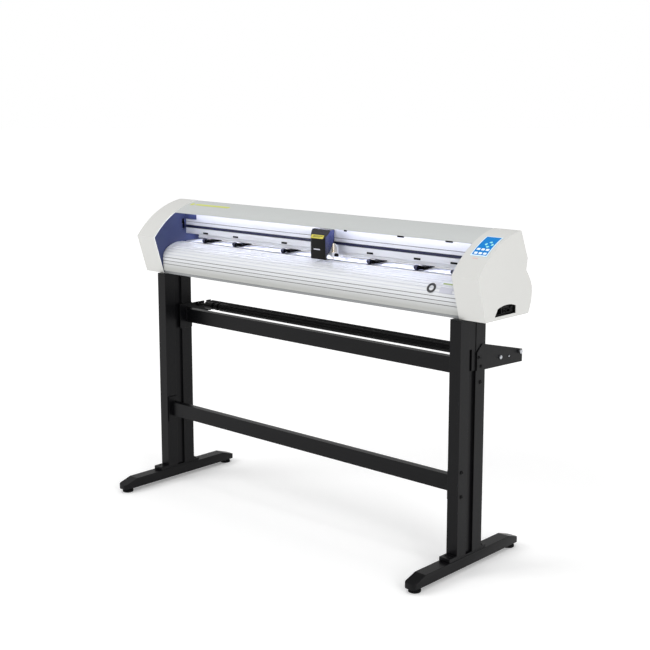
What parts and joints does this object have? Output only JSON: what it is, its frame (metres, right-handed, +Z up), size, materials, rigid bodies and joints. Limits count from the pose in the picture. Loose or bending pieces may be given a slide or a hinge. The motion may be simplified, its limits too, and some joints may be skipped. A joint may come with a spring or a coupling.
{
  "type": "vinyl cutter",
  "caption": "Roll-fed vinyl cutter on a black floor stand, with a sliding blade carriage, grit shaft, pinch rollers and roll cradle.",
  "frame": {"origin": "on the floor, under the middle of the machine", "axes": "+X along the rail to the operator's right, +Y to the rear, +Z up"},
  "size_m": [1.604, 0.566, 1.0939],
  "materials": {
    "stand_black": "satin black powder coat",
    "black_plastic": "fine moulded grain",
    "rubber": "matte moulded rubber",
    "light_shell": "satin moulded shell",
    "grey_cover": "extrusion with matte light grey paint",
    "tray_grey": "light grey paint on steel sheet",
    "roller_black": "black anodised ribbed tube",
    "aluminium": "satin anodised extrusion",
    "steel": "turned and ground",
    "navy_paint": "satin dark blue paint",
    "blue_film": "printed membrane film",
    "brass": "turned brass",
    "board": "solder-masked board",
    "cream_strip": "soft cutting strip"
  },
  "bodies": {
    "stand_and_head": {"left_foot_bar": "stand_black", "right_foot_bar": "stand_black", "left_base_bracket": "stand_black", "right_base_bracket": "stand_black", "left_column": "stand_black", "right_column": "stand_black", "left_head_bracket": "stand_black", "right_head_bracket": "stand_black", "lower_cross_beam": "stand_black", "upper_cross_beam": "stand_black", "left_media_arm": "stand_black", "right_media_arm": "stand_black", "left_end_cap": "light_shell", "right_end_cap": "light_shell", "chassis_tray": "tray_grey", "front_platen": "aluminium", "rear_platen": "aluminium", "cutting_strip": "cream_strip", "top_cover": "grey_cover", "keypad_film": "blue_film", "rail_beam": "aluminium", "left_side_plate": "navy_paint", "right_side_plate": "navy_paint", "drive_belt": "rubber", "carriage_motor": "stand_black", "feed_motor": "stand_black", "control_board": "board", "power_supply": "aluminium", "port_panel": "black_plastic"},
    "grit_shaft": {"grit_shaft": "steel", "shaft_gear": "steel"},
    "motor_pinion": {"motor_pinion": "brass"},
    "carriage": {"carriage_body": "stand_black", "carriage_cover": "black_plastic"},
    "tool": {"tool_slide": "aluminium", "blade_holder": "brass"},
    "clamp_knob": {"clamp_knob": "black_plastic"},
    "idler_pulley": {"idler_pulley": "steel"},
    "drive_pulley": {"drive_pulley": "steel"},
    "front_media_roller": {"front_media_roller": "roller_black"},
    "rear_media_roller": {"rear_media_roller": "roller_black"},
    "left_stop_collar": {"left_stop_collar": "black_plastic"},
    "right_stop_collar": {"right_stop_collar": "black_plastic"},
    "rocker_switch": {"rocker_switch": "black_plastic"},
    "pinch_arm_1": {"pinch_arm_1": "black_plastic"},
    "pinch_wheel_1": {"pinch_wheel_1": "rubber"},
    "pinch_arm_2": {"pinch_arm_2": "black_plastic"},
    "pinch_wheel_2": {"pinch_wheel_2": "rubber"},
    "pinch_arm_3": {"pinch_arm_3": "black_plastic"},
    "pinch_wheel_3": {"pinch_wheel_3": "rubber"},
    "pinch_arm_4": {"pinch_arm_4": "black_plastic"},
    "pinch_wheel_4": {"pinch_wheel_4": "rubber"},
    "pinch_arm_5": {"pinch_arm_5": "black_plastic"},
    "pinch_wheel_5": {"pinch_wheel_5": "rubber"},
    "pinch_arm_6": {"pinch_arm_6": "black_plastic"},
    "pinch_wheel_6": {"pinch_wheel_6": "rubber"},
    "left_front_levelling_foot": {"left_front_levelling_foot": "rubber"},
    "left_rear_levelling_foot": {"left_rear_levelling_foot": "rubber"},
    "right_front_levelling_foot": {"right_front_levelling_foot": "rubber"},
    "right_rear_levelling_foot": {"right_rear_levelling_foot": "rubber"}
  },
  "joints": [
    {"name": "grit_shaft_spin", "type": "hinge", "parent": "stand_and_head", "child": "grit_shaft", "pos_m": [0, 0.056, 0.9324], "axis": [1, 0, 0], "continuous": true},
    {"name": "motor_pinion_spin", "type": "hinge", "parent": "stand_and_head", "child": "motor_pinion", "pos_m": [0.7165, 0.056, 0.8964], "axis": [1, 0, 0], "continuous": true},
    {"name": "carriage_slide", "type": "slide", "parent": "stand_and_head", "child": "carriage", "axis": [1, 0, 0], "range_m": [-0.7, 0.57]},
    {"name": "tool_lift", "type": "slide", "parent": "carriage", "child": "tool", "axis": [0, 0, 1], "range_m": [-0.003, 0], "stiffness_N_per_m": 600, "springref_m": 0.006},
    {"name": "clamp_knob_turn", "type": "hinge", "parent": "tool", "child": "clamp_knob", "pos_m": [0.1, 0.034, 0.962], "axis": [1, 0, 0], "range_deg": [0, 720]},
    {"name": "idler_pulley_spin", "type": "hinge", "parent": "stand_and_head", "child": "idler_pulley", "pos_m": [-0.752, 0.085, 0.9975], "axis": [0, 0, 1], "range_deg": [-3400, 2800]},
    {"name": "drive_pulley_spin", "type": "hinge", "parent": "stand_and_head", "child": "drive_pulley", "pos_m": [0.752, 0.085, 0.9975], "axis": [0, 0, 1], "range_deg": [-3400, 2800]},
    {"name": "front_media_roller_spin", "type": "hinge", "parent": "stand_and_head", "child": "front_media_roller", "pos_m": [0, 0.143, 0.677], "axis": [1, 0, 0], "continuous": true},
    {"name": "rear_media_roller_spin", "type": "hinge", "parent": "stand_and_head", "child": "rear_media_roller", "pos_m": [0, 0.195, 0.672], "axis": [1, 0, 0], "continuous": true},
    {"name": "left_stop_collar_slide", "type": "slide", "parent": "front_media_roller", "child": "left_stop_collar", "axis": [1, 0, 0], "range_m": [-0.035, 0.0135]},
    {"name": "right_stop_collar_slide", "type": "slide", "parent": "front_media_roller", "child": "right_stop_collar", "axis": [1, 0, 0], "range_m": [-0.0135, 0.035]},
    {"name": "rocker_switch_tilt", "type": "hinge", "parent": "stand_and_head", "child": "rocker_switch", "pos_m": [0.791, 0.098, 0.851], "axis": [0, 1, 0], "range_deg": [-14, 0]},
    {"name": "pinch_arm_1_lift", "type": "hinge", "parent": "stand_and_head", "child": "pinch_arm_1", "pos_m": [-0.582, 0.138, 0.954], "axis": [-1, 0, 0], "range_deg": [0, 3.4], "stiffness_Nm_per_rad": 6, "springref_deg": -6.88},
    {"name": "pinch_wheel_1_spin", "type": "hinge", "parent": "pinch_arm_1", "child": "pinch_wheel_1", "pos_m": [-0.582, 0.056, 0.9497], "axis": [1, 0, 0], "continuous": true},
    {"name": "pinch_arm_2_lift", "type": "hinge", "parent": "stand_and_head", "child": "pinch_arm_2", "pos_m": [-0.415, 0.138, 0.954], "axis": [-1, 0, 0], "range_deg": [0, 3.4], "stiffness_Nm_per_rad": 6, "springref_deg": -6.88},
    {"name": "pinch_wheel_2_spin", "type": "hinge", "parent": "pinch_arm_2", "child": "pinch_wheel_2", "pos_m": [-0.415, 0.056, 0.9497], "axis": [1, 0, 0], "continuous": true},
    {"name": "pinch_arm_3_lift", "type": "hinge", "parent": "stand_and_head", "child": "pinch_arm_3", "pos_m": [-0.16, 0.138, 0.954], "axis": [-1, 0, 0], "range_deg": [0, 3.4], "stiffness_Nm_per_rad": 6, "springref_deg": -6.88},
    {"name": "pinch_wheel_3_spin", "type": "hinge", "parent": "pinch_arm_3", "child": "pinch_wheel_3", "pos_m": [-0.16, 0.056, 0.9497], "axis": [1, 0, 0], "continuous": true},
    {"name": "pinch_arm_4_lift", "type": "hinge", "parent": "stand_and_head", "child": "pinch_arm_4", "pos_m": [0.247, 0.138, 0.954], "axis": [-1, 0, 0], "range_deg": [0, 3.4], "stiffness_Nm_per_rad": 6, "springref_deg": -6.88},
    {"name": "pinch_wheel_4_spin", "type": "hinge", "parent": "pinch_arm_4", "child": "pinch_wheel_4", "pos_m": [0.247, 0.056, 0.9497], "axis": [1, 0, 0], "continuous": true},
    {"name": "pinch_arm_5_lift", "type": "hinge", "parent": "stand_and_head", "child": "pinch_arm_5", "pos_m": [0.45, 0.138, 0.954], "axis": [-1, 0, 0], "range_deg": [0, 3.4], "stiffness_Nm_per_rad": 6, "springref_deg": -6.88},
    {"name": "pinch_wheel_5_spin", "type": "hinge", "parent": "pinch_arm_5", "child": "pinch_wheel_5", "pos_m": [0.45, 0.056, 0.9497], "axis": [1, 0, 0], "continuous": true},
    {"name": "pinch_arm_6_lift", "type": "hinge", "parent": "stand_and_head", "child": "pinch_arm_6", "pos_m": [0.6, 0.138, 0.954], "axis": [-1, 0, 0], "range_deg": [0, 3.4], "stiffness_Nm_per_rad": 6, "springref_deg": -6.88},
    {"name": "pinch_wheel_6_spin", "type": "hinge", "parent": "pinch_arm_6", "child": "pinch_wheel_6", "pos_m": [0.6, 0.056, 0.9497], "axis": [1, 0, 0], "continuous": true},
    {"name": "left_front_levelling_foot_screw", "type": "slide", "parent": "stand_and_head", "child": "left_front_levelling_foot", "axis": [0, 0, 1], "range_m": [-0.012, 0.0025]},
    {"name": "left_rear_levelling_foot_screw", "type": "slide", "parent": "stand_and_head", "child": "left_rear_levelling_foot", "axis": [0, 0, 1], "range_m": [-0.012, 0.0025]},
    {"name": "right_front_levelling_foot_screw", "type": "slide", "parent": "stand_and_head", "child": "right_front_levelling_foot", "axis": [0, 0, 1], "range_m": [-0.012, 0.0025]},
    {"name": "right_rear_levelling_foot_screw", "type": "slide", "parent": "stand_and_head", "child": "right_rear_levelling_foot", "axis": [0, 0, 1], "range_m": [-0.012, 0.0025]}
  ],
  "couplings": [
    {"joint": "motor_pinion_spin", "follows": "grit_shaft_spin", "ratio": -3},
    {"joint": "idler_pulley_spin", "follows": "carriage_slide", "rad_per_m": 79.68},
    {"joint": "drive_pulley_spin", "follows": "carriage_slide", "rad_per_m": 79.68},
    {"joint": "pinch_wheel_1_spin", "follows": "grit_shaft_spin", "ratio": -0.88889},
    {"joint": "pinch_wheel_2_spin", "follows": "grit_shaft_spin", "ratio": -0.88889},
    {"joint": "pinch_wheel_3_spin", "follows": "grit_shaft_spin", "ratio": -0.88889},
    {"joint": "pinch_wheel_4_spin", "follows": "grit_shaft_spin", "ratio": -0.88889},
    {"joint": "pinch_wheel_5_spin", "follows": "grit_shaft_spin", "ratio": -0.88889},
    {"joint": "pinch_wheel_6_spin", "follows": "grit_shaft_spin", "ratio": -0.88889}
  ]
}
